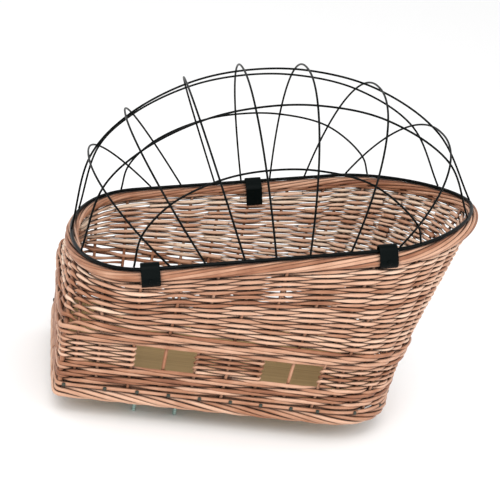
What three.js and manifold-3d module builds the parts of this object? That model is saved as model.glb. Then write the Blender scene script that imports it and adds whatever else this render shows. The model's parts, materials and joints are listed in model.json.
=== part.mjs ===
// Bicycle basket for a rear rack: a woven willow body on a plywood floor, a domed wire grille that hinges
// in two straps on one long rim, and two bolted strips that clamp the floor to the rack.
// Millimetres, +Z up. X runs from the low front end to the high rear end, and -Y is the hinge side.
// The origin is the middle of the floor board's underside, the face that goes towards the rack.

import * as THREE from 'three';
import { mergeVertices } from 'three/addons/utils/BufferGeometryUtils.js';
import Module from 'manifold-3d';

const wasm = await Module();
wasm.setup();

// Fits
const SEAT_GAP = 0.3; // between pieces that rest on each other
const BOLT_CLEARANCE = 0.6; // on the diameter, round a bolt
const STRAP_FIT = 0.9; // between a strap and the border it hugs
const CROSSING_GAP = 0.7; // between wires where they cross, which leaves room for their facets

// Woven body: the line of its stakes at the foot and at the waist
const FOOT_LENGTH = 450;
const FOOT_WIDTH = 275;
const FOOT_FRONT_CORNER = 10;
const FOOT_REAR_CORNER = 112;
const FOOT_FRONT_POWER = 3.4;
const FOOT_REAR_POWER = 2.3;
const WAIST_FLARE_LENGTH = 15; // how much longer the waist is than the foot
const WAIST_FLARE_WIDTH = 11;
const WAIST_LENGTH = FOOT_LENGTH + WAIST_FLARE_LENGTH;
const WAIST_WIDTH = FOOT_WIDTH + WAIST_FLARE_WIDTH;
const WAIST_FRONT_CORNER = 14;
const WAIST_REAR_CORNER = 125;
const WAIST_SHIFT = 3; // towards the rear
const WAIST_HEIGHT = 78; // middle of the waling band above the board's underside
const WALL_THICK = 7;
const STAKES = 32; // upright rods round the body, which the weave passes
const WEAVE_SWING = 2.5; // of the wall's middle, out and in past the stakes
const LOWER_COURSES = 6; // of the weave outside, drawn coarser than its rods
const UPPER_COURSES = 12;

// Borders and band, wide and high across their section
const FOOT_BORDER_WIDTH = 16;
const FOOT_BORDER_HEIGHT = 16.5; // all below the board's underside
const WALING_WIDTH = 18;
const WALING_HEIGHT = 25;
const RIM_BORDER_WIDTH = 19;
const RIM_BORDER_HEIGHT = 17;

// Rim: the line of the grille's ring, on a plane that rises to the rear
const RIM_TILT = THREE.MathUtils.degToRad(12.5);
const RIM_MIDDLE_X = 33;
const RIM_MIDDLE_Z = 211;
const RIM_LENGTH = 534;
const RIM_WIDTH = 316;
const RIM_FRONT_CORNER = 95;
const RIM_REAR_CORNER = 150;
const RIM_FRONT_POWER = 2.2;
const RIM_REAR_POWER = 1.65;

// Windows in both long walls, each parted by one stake
const WINDOW_CENTRES = [-99, 65];
const WINDOW_LENGTH = 78;
const WINDOW_HEIGHT = 30; // down from the waling band
const WINDOW_STAKE = 5.5;

// Grille wires
const RING_WIRE = 4.6;
const HOOP_WIRE = 2.7;
const DOME_HEIGHT = 202; // ridge above the ring
const DOME_LEAN = 14.5; // ridge's top, towards the front
const DOME_POWER = 2.25; // fullness of a hoop, 2 being an ellipse
const HOOP_FEET = [-153, -110, -61.5, -23, 19, 70, 130.5]; // along the ring from its middle
const HOOP_FAN = THREE.MathUtils.degToRad(113.2); // turn of a crown whose foot is half the ring away
const FAN_MIDDLE = -12; // the foot whose crown stands upright
const LOW_ARCH = { frontInset: 72, rearInset: 107, height: 106 }; // feet, in from the ring's ends
const HIGH_ARCH = { frontInset: 11, rearInset: 24, height: 172 };

// Straps on the rim
const STRAP_WIDTH = 23;
const STRAP_THICK = 2;
const STRAP_SLACK = 4; // room over the ring for it to turn in
const FRONT_STRAP_INSET = 91; // middle of the strap, in from the ring's end
const REAR_STRAP_INSET = 152.5;
const HINGE_STRAPS = { front: FRONT_STRAP_INSET - RIM_LENGTH / 2, rear: RIM_LENGTH / 2 - REAR_STRAP_INSET };
const CLOSURE_STRAP = -6;
const TAIL_LENGTH = 23;
const TAIL_GAP = 3; // between the hanging tail and the border
const STUD_DIAMETER = 6;
const STUD_HEIGHT = 1.4;

// Floor board and rack clamp
const BOARD_THICK = 6;
const BOLT_DIAMETER = 5;
const BOLT_HEAD = 14;
const BOLT_HEAD_HEIGHT = 3;
const BOLT_REACH = 45; // tip below the board's underside
const BOLT_ROWS = [-121, -67.5]; // along X
const BOLT_SPACING = 200; // across Y
const WASHER_DIAMETER = 20;
const WASHER_THICK = 1.5;
const STRIP_WIDTH = 22;
const STRIP_THICK = 2.5;
const STRIP_END = 13; // past each bolt
const STRIP_DROP = 16; // top face below the board's underside
const NUT_BOSS = 10;
const NUT_HEIGHT = 8;
const WING_SPAN = 28;
const WING_HEIGHT = 12;
const WING_THICK = 2.6;

// Facets
const LOOP_STEPS = 2 * STAKES; // one at each stake and one between
const FRONT_STEPS = 7; // of them, from the front middle to a front corner
const WIRE_SIDES = 6;
const RING_SIDES = 8;
const ROUND_STEPS = 12;
const BAND_SIDES = 8; // foot border and waling band
const RIM_SIDES = 12; // rim border, and the straps that hug it
const CORNER_STEPS = 48; // points on a corner of an outline before they are evened out
const HOOP_STEPS = 20;
const ARCH_STEPS = 24;
const STRAP_STEPS = 2; // across a strap's width
const WING_STEPS = 3; // on each curve of a wing

const finish = (color, roughness, metalness = 0) =>
  new THREE.MeshStandardMaterial({ color, roughness, metalness });
const WILLOW = finish(0xd39a72, 0.55);
const WILLOW_DARK = finish(0xb97f5a, 0.6);
const PLYWOOD = finish(0x96875f, 0.6);
const COATED_WIRE = finish(0x10201e, 0.35);
const STRAP_BLACK = finish(0x16282b, 0.6);
const ZINC = finish(0x82afa5, 0.35, 0.9);

const basket = new THREE.Group();

function place(name, geometry, material, parent = basket) {
  const mesh = new THREE.Mesh(geometry, material);
  mesh.name = name;
  parent.add(mesh);
  return mesh;
}

// Solids for cuts and joins
function toSolid(geometry) {
  const bare = geometry.clone();
  for (const key of Object.keys(bare.attributes)) if (key !== 'position') bare.deleteAttribute(key);
  const merged = mergeVertices(bare.index ? bare.toNonIndexed() : bare, 1e-4);
  return new wasm.Manifold(new wasm.Mesh({
    numProp: 3,
    vertProperties: new Float32Array(merged.attributes.position.array),
    triVerts: new Uint32Array(merged.index.array),
  }));
}

function toGeometry(solid) {
  const mesh = solid.getMesh();
  const geometry = new THREE.BufferGeometry();
  geometry.setAttribute('position', new THREE.BufferAttribute(mesh.vertProperties, 3));
  geometry.setIndex(new THREE.BufferAttribute(mesh.triVerts, 1));
  return geometry;
}

const cut = (geometry, tools) => toGeometry(
  tools.reduce((solid, tool) => solid.subtract(toSolid(tool)), toSolid(geometry)));

// Closed outline on a plane: straight sides between superellipse ends, from the front middle along the
// hinge side to the rear middle and back along the far side. Its points are evenly spaced by length up to
// the front corner, where one stands at the turn, and again from there to the rear middle.
function outline({ length, width, frontCorner, rearCorner, frontPower, rearPower }) {
  const side = [];
  for (let i = 0; i <= CORNER_STEPS; i++) {
    const turn = (i / CORNER_STEPS) * Math.PI / 2;
    side.push(new THREE.Vector3(
      -length / 2 + frontCorner * (1 - Math.max(0, Math.cos(turn)) ** (2 / frontPower)),
      -width / 2 * Math.sin(turn) ** (2 / frontPower), 0));
  }
  for (let i = 0; i <= CORNER_STEPS; i++) {
    const turn = (i / CORNER_STEPS) * Math.PI / 2;
    side.push(new THREE.Vector3(
      length / 2 - rearCorner * (1 - Math.sin(turn) ** (2 / rearPower)),
      -width / 2 * Math.max(0, Math.cos(turn)) ** (2 / rearPower), 0));
  }
  const spaced = (points, steps) => {
    const path = new THREE.CurvePath();
    points.slice(1).forEach((end, i) => path.add(new THREE.LineCurve3(points[i], end)));
    return path.getSpacedPoints(steps);
  };
  const corner = side.reduce((best, p, i) => (p.x + p.y < side[best].x + side[best].y ? i : best), 0);
  const half = [...spaced(side.slice(0, corner + 1), FRONT_STEPS),
    ...spaced(side.slice(corner), LOOP_STEPS / 2 - FRONT_STEPS).slice(1)];
  const back = half.slice(1, -1).reverse().map((p) => new THREE.Vector3(p.x, -p.y, p.z));
  return [...half, ...back];
}

// Half width of the rim's line at a place along it
function rimHalfWidth(along) {
  const intoFront = -RIM_LENGTH / 2 + RIM_FRONT_CORNER - along;
  const intoRear = along - RIM_LENGTH / 2 + RIM_REAR_CORNER;
  const narrow = (into, corner, power) => (1 - Math.min(1, into / corner) ** power) ** (1 / power);
  if (intoFront > 0) return RIM_WIDTH / 2 * narrow(intoFront, RIM_FRONT_CORNER, RIM_FRONT_POWER);
  if (intoRear > 0) return RIM_WIDTH / 2 * narrow(intoRear, RIM_REAR_CORNER, RIM_REAR_POWER);
  return RIM_WIDTH / 2;
}

// Rim frame: along the rim, across it and square to its plane
const rimMatrix = new THREE.Matrix4().makeRotationY(-RIM_TILT)
  .setPosition(RIM_MIDDLE_X, 0, RIM_MIDDLE_Z);

// Frame of a strap on the rim: outwards, up and along, from the ring's middle
function strapFrame(along, side) {
  const slope = (rimHalfWidth(along + 1) - rimHalfWidth(along - 1)) / 2;
  const out = new THREE.Vector3(-slope, side, 0).normalize();
  const up = new THREE.Vector3(0, 0, 1);
  return new THREE.Matrix4().makeBasis(out, up, new THREE.Vector3().crossVectors(out, up))
    .setPosition(along, side * rimHalfWidth(along), 0);
}

const footLine = outline({ length: FOOT_LENGTH, width: FOOT_WIDTH, frontCorner: FOOT_FRONT_CORNER,
  rearCorner: FOOT_REAR_CORNER, frontPower: FOOT_FRONT_POWER, rearPower: FOOT_REAR_POWER });
const waistLine = outline({ length: WAIST_LENGTH, width: WAIST_WIDTH, frontCorner: WAIST_FRONT_CORNER,
  rearCorner: WAIST_REAR_CORNER, frontPower: FOOT_FRONT_POWER, rearPower: FOOT_REAR_POWER })
  .map((p) => p.set(p.x + WAIST_SHIFT, p.y, WAIST_HEIGHT));
const rimFlat = outline({ length: RIM_LENGTH, width: RIM_WIDTH, frontCorner: RIM_FRONT_CORNER,
  rearCorner: RIM_REAR_CORNER, frontPower: RIM_FRONT_POWER, rearPower: RIM_REAR_POWER });

// Outward mitre of a closed line at each of its points, level with the XY plane, which moves both of the
// straight stretches that meet there out by 1
function outward(line) {
  const count = line.length;
  const square = (a, b) => new THREE.Vector3(b.y - a.y, a.x - b.x, 0).normalize();
  return line.map((p, i) => {
    const before = square(line[(i + count - 1) % count], p);
    const after = square(p, line[(i + 1) % count]);
    return before.clone().add(after).divideScalar(1 + before.dot(after));
  });
}

// Closed band: loops joined in order round its section, outer face going up first. Each of its quads
// is parted along the diagonal that stands further out.
function bandOf(loops) {
  const count = loops[0].length;
  const points = loops.flat();
  const index = [];
  loops.forEach((_, j) => {
    const next = (j + 1) % loops.length;
    for (let i = 0; i < count; i++) {
      const ahead = (i + 1) % count;
      const corners = [j * count + i, j * count + ahead, next * count + ahead, next * count + i];
      const [a, b, c, d] = corners.map((k) => points[k]);
      const faceOut = b.clone().sub(a).cross(c.clone().sub(a));
      if (a.clone().add(c).sub(b).sub(d).dot(faceOut) < 0) corners.push(corners.shift());
      index.push(corners[0], corners[1], corners[2], corners[0], corners[2], corners[3]);
    }
  });
  const geometry = new THREE.BufferGeometry().setFromPoints(points);
  geometry.setIndex(index);
  return geometry;
}

// Rounded section with flats below, above and at its sides, as [outwards, up] pairs round its middle
function roundSection(width, height, sides) {
  const corner = Math.PI / sides;
  const grow = 1 / Math.cos(corner);
  return Array.from({ length: sides }, (_, k) => {
    const turn = -Math.PI / 2 + (2 * k + 1) * corner;
    return [width / 2 * grow * Math.cos(turn), height / 2 * grow * Math.sin(turn)];
  });
}

// Section carried round a closed line; up is the direction in which its height is measured
function carried(line, section, up) {
  const out = outward(line);
  return bandOf(section.map(([across, rise]) => line.map((p, i) => p.clone()
    .addScaledVector(out[i], across).addScaledVector(up, rise))));
}

const UP = new THREE.Vector3(0, 0, 1);
const mixed = (a, b, share) => a.clone().lerp(b, share);

// Outer and inner edges of a wall along a line, the inner one this far in from it
function wallEdges(line, inside = WALL_THICK / 2) {
  const out = outward(line);
  return [WALL_THICK / 2, -inside].map((across) =>
    line.map((p, i) => p.clone().addScaledVector(out[i], across)));
}

// Wall between the edges at its foot and head, with a plain inside. Outside it has woven courses, each of
// which swings out past every other stake and in past the rest, against the course below it.
function wovenWall([footOuter, footInner], [headOuter, headInner], courses) {
  const swing = (i, course) => (i % 2 ? 0 : WEAVE_SWING * (-1) ** (i / 2 + course));
  const woven = Array.from({ length: courses }, (_, course) => footOuter.map((p, i) => {
    const out = p.clone().sub(footInner[i]).normalize();
    return mixed(p, headOuter[i], (course + 0.5) / courses).addScaledVector(out, swing(i, course));
  }));
  return bandOf([footOuter, ...woven, headOuter, headInner, footInner]);
}

// Floor board, held inside the thick foot of the lower wall
const footInside = FOOT_BORDER_WIDTH / 2;
const boardLine = footLine.map((p, i) => p.clone()
  .addScaledVector(outward(footLine)[i], -footInside - SEAT_GAP));
const boltPlaces = BOLT_ROWS.flatMap((x) => [-1, 1].map((side) => [x, side * BOLT_SPACING / 2]));
const boreRadius = (BOLT_DIAMETER + BOLT_CLEARANCE) / 2;
const hole = (x, y) => new THREE.Path().absarc(x, y, boreRadius, 0, 2 * Math.PI, true);
const boardShape = new THREE.Shape(boardLine.map((p) => new THREE.Vector2(p.x, p.y)));
boardShape.holes.push(...boltPlaces.map(([x, y]) => hole(x, y)));
const flatSheet = (shape, depth) => new THREE.ExtrudeGeometry(shape,
  { depth, bevelEnabled: false, curveSegments: ROUND_STEPS / 2 });
place('floor_board', flatSheet(boardShape, BOARD_THICK), PLYWOOD);

// Foot border, rolled round the edge below the board
const footMiddle = -SEAT_GAP - FOOT_BORDER_HEIGHT / 2;
place('foot_border', carried(footLine.map((p) => p.clone().setZ(footMiddle)),
  roundSection(FOOT_BORDER_WIDTH, FOOT_BORDER_HEIGHT, BAND_SIDES), UP), WILLOW_DARK);

// Lower wall, with the windows open up to the waling band
const walingFoot = WAIST_HEIGHT - WALING_HEIGHT / 2;
const wallAt = (z) => footLine.map((p, i) => mixed(p, waistLine[i], z / WAIST_HEIGHT));
const windowSill = walingFoot - WINDOW_HEIGHT;
const windowTools = WINDOW_CENTRES.map((x) =>
  new THREE.BoxGeometry(WINDOW_LENGTH, 2 * WAIST_WIDTH, 2 * WINDOW_HEIGHT)
    .translate(x, 0, windowSill + WINDOW_HEIGHT));
const lowerWall = wovenWall(wallEdges(footLine, footInside), wallEdges(wallAt(walingFoot - SEAT_GAP)),
  LOWER_COURSES);
place('lower_wall', cut(lowerWall, windowTools), WILLOW);

// One stake stands in the middle of each window
const windowMiddle = windowSill + WINDOW_HEIGHT / 2;
const windowSideY = (FOOT_WIDTH + (WAIST_WIDTH - FOOT_WIDTH) * windowMiddle / WAIST_HEIGHT) / 2;
const stakeLength = WINDOW_HEIGHT - 2 * SEAT_GAP;
for (const [sideName, side] of [['near', -1], ['far', 1]]) {
  ['front', 'rear'].forEach((end, k) => {
    const stake = place(`window_stake_${sideName}_${end}`,
      new THREE.CylinderGeometry(WINDOW_STAKE / 2, WINDOW_STAKE / 2, stakeLength, 8), WILLOW_DARK);
    stake.rotation.x = Math.PI / 2;
    stake.position.set(WINDOW_CENTRES[k], side * windowSideY, windowMiddle);
  });
}

// Waling band at the waist
place('waling_band', carried(waistLine,
  roundSection(WALING_WIDTH, WALING_HEIGHT, BAND_SIDES), UP), WILLOW_DARK);

// Upper wall, from the waling band to the sloping rim, notched where the hinge straps go through
const borderMiddle = -(RING_WIRE / 2 + SEAT_GAP + RIM_BORDER_HEIGHT / 2);
const borderFoot = borderMiddle - RIM_BORDER_HEIGHT / 2;
const walingTop = WAIST_HEIGHT + WALING_HEIGHT / 2;
const wallHead = rimFlat.map((p) => p.clone().setZ(borderFoot - SEAT_GAP));
const upperFoot = wallHead.map((p, i) => {
  const head = p.clone().applyMatrix4(rimMatrix);
  return mixed(waistLine[i], head, (walingTop + SEAT_GAP - WAIST_HEIGHT) / (head.z - WAIST_HEIGHT));
});
const headEdges = wallEdges(wallHead).map((edge) => edge.map((p) => p.applyMatrix4(rimMatrix)));
const notchDepth = STRAP_FIT + STRAP_THICK + 2 * SEAT_GAP;
const notchTools = Object.values(HINGE_STRAPS).map((along) =>
  new THREE.BoxGeometry(3 * RIM_BORDER_WIDTH, 2 * notchDepth, STRAP_WIDTH + 4 * STRAP_FIT)
    .translate(0, borderFoot, 0).applyMatrix4(strapFrame(along, -1)).applyMatrix4(rimMatrix));
place('upper_wall', cut(wovenWall(wallEdges(upperFoot), headEdges, UPPER_COURSES), notchTools), WILLOW);

// Rim border, rolled over the stakes' ends, with the ring lying along its top
place('rim_border', carried(rimFlat.map((p) => p.clone().setZ(borderMiddle)),
  roundSection(RIM_BORDER_WIDTH, RIM_BORDER_HEIGHT, RIM_SIDES), UP), WILLOW_DARK).applyMatrix4(rimMatrix);

// Grille, drawn in the rim frame
const grille = new THREE.Group();
grille.applyMatrix4(rimMatrix);
basket.add(grille);
place('grille_ring', carried(rimFlat, roundSection(RING_WIRE, RING_WIRE, RING_SIDES), UP), COATED_WIRE, grille);

const wireShape = new THREE.Shape(Array.from({ length: WIRE_SIDES }, (_, k) => {
  const turn = (2 * Math.PI * k) / WIRE_SIDES;
  return new THREE.Vector2(HOOP_WIRE / 2 * Math.cos(turn), HOOP_WIRE / 2 * Math.sin(turn));
}));

// A wire along points, its two ends cut level to sit on the ring
const wireFoot = RING_WIRE / 2 + SEAT_GAP;
const belowSeats = new THREE.BoxGeometry(2 * RIM_LENGTH, 2 * RIM_WIDTH, DOME_HEIGHT)
  .translate(0, 0, wireFoot - DOME_HEIGHT / 2);
function seatedWire(points, steps) {
  const beyond = (end, next) => end.clone().addScaledVector(end.clone().sub(next).normalize(), HOOP_WIRE);
  const path = [beyond(points[0], points[1]), ...points, beyond(points.at(-1), points.at(-2))];
  const extrudePath = new THREE.CatmullRomCurve3(path, false, 'centripetal');
  return cut(new THREE.ExtrudeGeometry(wireShape, { steps, bevelEnabled: false, extrudePath }), [belowSeats]);
}

// A hoop stands on the ring at its foot, leans along the fan and follows a superellipse.
// turn runs from 0 at the hinge side's foot to PI at the far one; inset moves it inside the hoop.
function hoopPoint(foot, turn, inset = 0) {
  const fan = HOOP_FAN * (foot - FAN_MIDDLE) / (RIM_LENGTH / 2);
  const crown = RIM_LENGTH / 2 * Math.sin(fan) - DOME_LEAN * Math.cos(fan);
  const lean = new THREE.Vector3(crown - foot, 0, DOME_HEIGHT * Math.cos(fan) - wireFoot);
  const across = Math.sign(Math.cos(turn)) * Math.abs(Math.cos(turn)) ** (2 / DOME_POWER);
  const up = Math.max(0, Math.sin(turn)) ** (2 / DOME_POWER);
  const half = rimHalfWidth(foot);
  const inward = new THREE.Vector3(0, Math.sign(across) * Math.abs(across) ** (DOME_POWER - 1) / half, 0)
    .addScaledVector(lean, -(up ** (DOME_POWER - 1)) / lean.lengthSq()).normalize();
  return new THREE.Vector3(foot, -across * half, wireFoot)
    .addScaledVector(lean, up).addScaledVector(inward, inset);
}
HOOP_FEET.forEach((foot, k) => {
  const points = Array.from({ length: HOOP_STEPS + 1 }, (_, i) => hoopPoint(foot, (i / HOOP_STEPS) * Math.PI));
  place(`grille_hoop_${k + 1}`, seatedWire(points, HOOP_STEPS), COATED_WIRE, grille);
});

// A long arch is an ellipse seen from the side, bent to touch each hoop's inside where they cross
const crossing = HOOP_WIRE + CROSSING_GAP;
function archPoints(arch, side) {
  const front = arch.frontInset - RIM_LENGTH / 2;
  const rear = RIM_LENGTH / 2 - arch.rearInset;
  const middle = (front + rear) / 2;
  const reach = (rear - front) / 2;
  const outside = (p) => ((p.x - middle) / reach) ** 2 + (p.z / arch.height) ** 2 > 1;
  const foot = (along) => new THREE.Vector3(along, side * rimHalfWidth(along), wireFoot);
  const crossings = HOOP_FEET.map((hoop) => {
    let low = 0;
    let high = Math.PI / 2;
    for (let i = 0; i < 40; i++) {
      const turn = (low + high) / 2;
      if (outside(hoopPoint(hoop, turn, crossing))) high = turn;
      else low = turn;
    }
    const point = hoopPoint(hoop, low, crossing);
    return new THREE.Vector3(point.x, -side * point.y, point.z);
  });
  return [foot(front), ...crossings, foot(rear)];
}
for (const [sideName, side] of [['near', -1], ['far', 1]]) {
  for (const [level, arch] of [['low', LOW_ARCH], ['high', HIGH_ARCH]]) {
    const wire = seatedWire(archPoints(arch, side), ARCH_STEPS);
    place(`grille_arch_${sideName}_${level}`, wire, COATED_WIRE, grille);
  }
}
const ridge = [new THREE.Vector3(-RIM_LENGTH / 2, 0, wireFoot),
  ...HOOP_FEET.map((foot) => hoopPoint(foot, Math.PI / 2, crossing)),
  new THREE.Vector3(RIM_LENGTH / 2, 0, wireFoot)];
place('grille_arch_ridge', seatedWire(ridge, ARCH_STEPS), COATED_WIRE, grille);

// A strap's section is drawn outwards from the ring's middle and up, extruded along the rim and bent with it
function strapAlong(shape, along, side) {
  const geometry = new THREE.ExtrudeGeometry(shape,
    { depth: STRAP_WIDTH, steps: STRAP_STEPS, bevelEnabled: false });
  const { position } = geometry.attributes;
  for (let i = 0; i < position.count; i++) {
    const point = new THREE.Vector3().fromBufferAttribute(position, i);
    const station = along + side * (point.z - STRAP_WIDTH / 2);
    position.setXYZ(i, ...point.setZ(0).applyMatrix4(strapFrame(station, side)));
  }
  return geometry;
}

// Hinge straps: closed loops round the border and the ring, with room for the ring to turn
const HALF_FLAT = Math.PI / RIM_SIDES;
const besideBorder = (gap, corner) => new THREE.Vector2(
  (RIM_BORDER_WIDTH / 2 + gap) / Math.cos(HALF_FLAT) * Math.cos(corner * HALF_FLAT),
  borderMiddle + (RIM_BORDER_HEIGHT / 2 + gap) / Math.cos(HALF_FLAT) * Math.sin(corner * HALF_FLAT));
const overRing = (gap, turn) => new THREE.Vector2(
  (RING_WIRE / 2 + gap) * Math.cos(turn), (RING_WIRE / 2 + gap) * Math.sin(turn));
const degrees = THREE.MathUtils.degToRad;
function loopPoints(thick) {
  const round = [3, 1, -1, -3, -5, -7, -9, -11, -13, -15]
    .map((corner) => besideBorder(STRAP_FIT + thick, corner));
  const over = [150, 90, 30].map((turn) => overRing(STRAP_SLACK + thick, degrees(turn)));
  return [...round, ...over];
}
const loopShape = new THREE.Shape(loopPoints(STRAP_THICK).reverse());
loopShape.holes.push(new THREE.Path(loopPoints(0)));
const studProfile = [[0, 0], [0.5, 0], [0.5, 0.35], [0.4, 0.8], [0, 1]]
  .map(([r, h]) => new THREE.Vector2(r * STUD_DIAMETER, h * STUD_HEIGHT));
const strapFace = RIM_BORDER_WIDTH / 2 + STRAP_FIT + STRAP_THICK + SEAT_GAP;
for (const [end, along] of Object.entries(HINGE_STRAPS)) {
  place(`hinge_strap_${end}`, strapAlong(loopShape, along, -1), STRAP_BLACK).applyMatrix4(rimMatrix);
  place(`strap_stud_${end}`, new THREE.LatheGeometry(studProfile, ROUND_STEPS).rotateZ(-Math.PI / 2)
    .translate(strapFace, borderMiddle, 0).applyMatrix4(strapFrame(along, -1)), ZINC).applyMatrix4(rimMatrix);
}

// Closure strap: over the ring on the far rim, straight down outside the border and over its inner shoulder
function ribbon(points, thick) {
  const sides = [1, -1].map((side) => points.map((p, i) => {
    const ahead = points[Math.min(i + 1, points.length - 1)];
    const behind = points[Math.max(i - 1, 0)];
    const way = ahead.clone().sub(behind).normalize();
    return new THREE.Vector2(p.x - way.y * side * thick / 2, p.y + way.x * side * thick / 2);
  }));
  return new THREE.Shape([...sides[0], ...sides[1].reverse()]);
}
const shoulder = [11, 9, 7.5].map((corner) => besideBorder(TAIL_GAP + STRAP_THICK / 2, corner));
const wrap = [120, 75, 30].map((turn) => overRing(STRAP_FIT + STRAP_THICK / 2, degrees(turn)));
const hug = [3, 1, -1].map((corner) => besideBorder(2 * STRAP_FIT + STRAP_THICK / 2, corner));
const looseEnd = new THREE.Vector2(hug.at(-1).x, borderFoot);
const closureShape = ribbon([...shoulder, ...wrap, ...hug, looseEnd], STRAP_THICK);
place('closure_strap', strapAlong(closureShape, CLOSURE_STRAP, 1), STRAP_BLACK, grille);

// Closure tail: the strap's end, hanging free inside from the crease at the border's shoulder
const crease = shoulder[0];
const tailTop = new THREE.Vector2(crease.x, crease.y - SEAT_GAP - STRAP_THICK / 2);
const tailShape = ribbon([tailTop, new THREE.Vector2(tailTop.x, tailTop.y - TAIL_LENGTH)], STRAP_THICK);
place('closure_tail', strapAlong(tailShape, CLOSURE_STRAP, 1), STRAP_BLACK, grille);

// Rack clamp: bolts through the floor, with washers under their heads
const seatTop = BOARD_THICK + WASHER_THICK + 2 * SEAT_GAP;
const boltTip = BOLT_DIAMETER * 0.3;
const domed = [[1, 0], [0.8, 0.6], [0.4, 0.93], [0, 1]]
  .map(([r, h]) => [r * BOLT_HEAD / 2, seatTop + h * BOLT_HEAD_HEIGHT]);
const boltProfile = [[0, -BOLT_REACH], [boltTip, -BOLT_REACH], [BOLT_DIAMETER / 2, -BOLT_REACH + boltTip],
  [BOLT_DIAMETER / 2, seatTop], ...domed].map(([r, z]) => new THREE.Vector2(r, z));
const ringProfile = (outer, low, high) => [
  [boreRadius, low], [outer, low], [outer, high], [boreRadius, high], [boreRadius, low],
].map(([r, z]) => new THREE.Vector2(r, z));
const turnedPiece = (profile) => new THREE.LatheGeometry(profile, ROUND_STEPS).rotateX(Math.PI / 2);

// Wing nut: a bored boss with two wings that rise away from the strip, here downwards
const wingShape = new THREE.Shape();
wingShape.moveTo(NUT_BOSS * 0.35, NUT_HEIGHT * 0.2);
wingShape.lineTo(NUT_BOSS * 0.6, NUT_HEIGHT * 0.15);
wingShape.quadraticCurveTo(WING_SPAN / 2, NUT_HEIGHT * 0.4, WING_SPAN / 2, WING_HEIGHT * 0.8);
wingShape.quadraticCurveTo(WING_SPAN / 2 * 0.95, WING_HEIGHT, WING_SPAN / 2 * 0.75, WING_HEIGHT);
wingShape.quadraticCurveTo(WING_SPAN / 2 * 0.62, NUT_HEIGHT * 0.95, NUT_BOSS * 0.35, NUT_HEIGHT * 0.85);
const wing = new THREE.ExtrudeGeometry(wingShape,
  { depth: WING_THICK, bevelEnabled: false, curveSegments: WING_STEPS })
  .translate(0, 0, -WING_THICK / 2).rotateX(Math.PI / 2);
const boss = turnedPiece(ringProfile(NUT_BOSS / 2, 0, NUT_HEIGHT));
const wingNut = toGeometry(toSolid(boss).add(toSolid(wing)).add(toSolid(wing.clone().rotateZ(Math.PI))))
  .rotateX(Math.PI);

const stripShape = new THREE.Shape();
const stripReach = BOLT_SPACING / 2 + STRIP_END - STRIP_WIDTH / 2;
stripShape.absarc(0, stripReach, STRIP_WIDTH / 2, 0, Math.PI, false);
stripShape.absarc(0, -stripReach, STRIP_WIDTH / 2, Math.PI, 2 * Math.PI, false);
stripShape.holes.push(...[-1, 1].map((side) => hole(0, side * BOLT_SPACING / 2)));

BOLT_ROWS.forEach((x, row) => {
  const end = ['front', 'rear'][row];
  place(`clamp_strip_${end}`, flatSheet(stripShape, STRIP_THICK), ZINC)
    .position.set(x, 0, -STRIP_DROP - STRIP_THICK);
  for (const [sideName, side] of [['near', -1], ['far', 1]]) {
    const y = side * BOLT_SPACING / 2;
    place(`clamp_bolt_${end}_${sideName}`, turnedPiece(boltProfile), ZINC).position.set(x, y, 0);
    place(`bolt_washer_${end}_${sideName}`, turnedPiece(ringProfile(WASHER_DIAMETER / 2,
      BOARD_THICK + SEAT_GAP, BOARD_THICK + SEAT_GAP + WASHER_THICK)), ZINC).position.set(x, y, 0);
    place(`wing_nut_${end}_${sideName}`, wingNut, ZINC)
      .position.set(x, y, -STRIP_DROP - STRIP_THICK - SEAT_GAP);
  }
});

export default basket;
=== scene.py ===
import json
import math

import bpy
import numpy as np
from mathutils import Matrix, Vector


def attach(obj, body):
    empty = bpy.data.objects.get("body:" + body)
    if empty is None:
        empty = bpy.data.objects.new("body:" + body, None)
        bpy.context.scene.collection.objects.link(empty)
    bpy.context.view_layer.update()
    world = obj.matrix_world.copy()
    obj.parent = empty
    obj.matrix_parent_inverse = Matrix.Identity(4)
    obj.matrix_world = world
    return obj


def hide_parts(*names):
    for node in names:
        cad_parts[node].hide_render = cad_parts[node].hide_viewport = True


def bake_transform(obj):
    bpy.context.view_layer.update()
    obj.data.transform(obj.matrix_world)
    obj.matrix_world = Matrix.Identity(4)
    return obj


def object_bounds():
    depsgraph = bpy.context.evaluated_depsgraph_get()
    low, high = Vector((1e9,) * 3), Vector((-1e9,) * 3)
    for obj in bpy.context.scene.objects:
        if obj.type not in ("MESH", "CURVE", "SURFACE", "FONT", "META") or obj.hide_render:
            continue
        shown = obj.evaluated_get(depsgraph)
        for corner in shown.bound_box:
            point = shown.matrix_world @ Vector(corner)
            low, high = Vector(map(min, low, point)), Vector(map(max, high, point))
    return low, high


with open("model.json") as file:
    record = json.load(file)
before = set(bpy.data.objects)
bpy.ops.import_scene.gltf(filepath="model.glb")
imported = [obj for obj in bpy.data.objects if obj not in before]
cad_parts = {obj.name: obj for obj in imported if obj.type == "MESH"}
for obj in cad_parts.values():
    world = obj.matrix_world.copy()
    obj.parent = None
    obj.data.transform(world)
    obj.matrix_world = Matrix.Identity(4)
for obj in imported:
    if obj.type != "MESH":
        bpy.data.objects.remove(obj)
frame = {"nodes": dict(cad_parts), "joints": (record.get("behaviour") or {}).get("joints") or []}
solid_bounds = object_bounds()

# Floor board
# A sheet of sanded plywood that fills the foot and is bolted through to the rack. Its solid is right as
# it is, so it only gets its wood. Sizes in this file are in millimetres until a mesh is made.
MM = 0.001
BOARD_GRAIN_LENGTH, BOARD_GRAIN_WIDTH = 160.0, 2.6
# A mix node's sockets for colours go by number, because those for other data have the same names
MIX_SHARE, MIX_FROM, MIX_TO, MIX_RESULT = 0, 6, 7, 2


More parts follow.
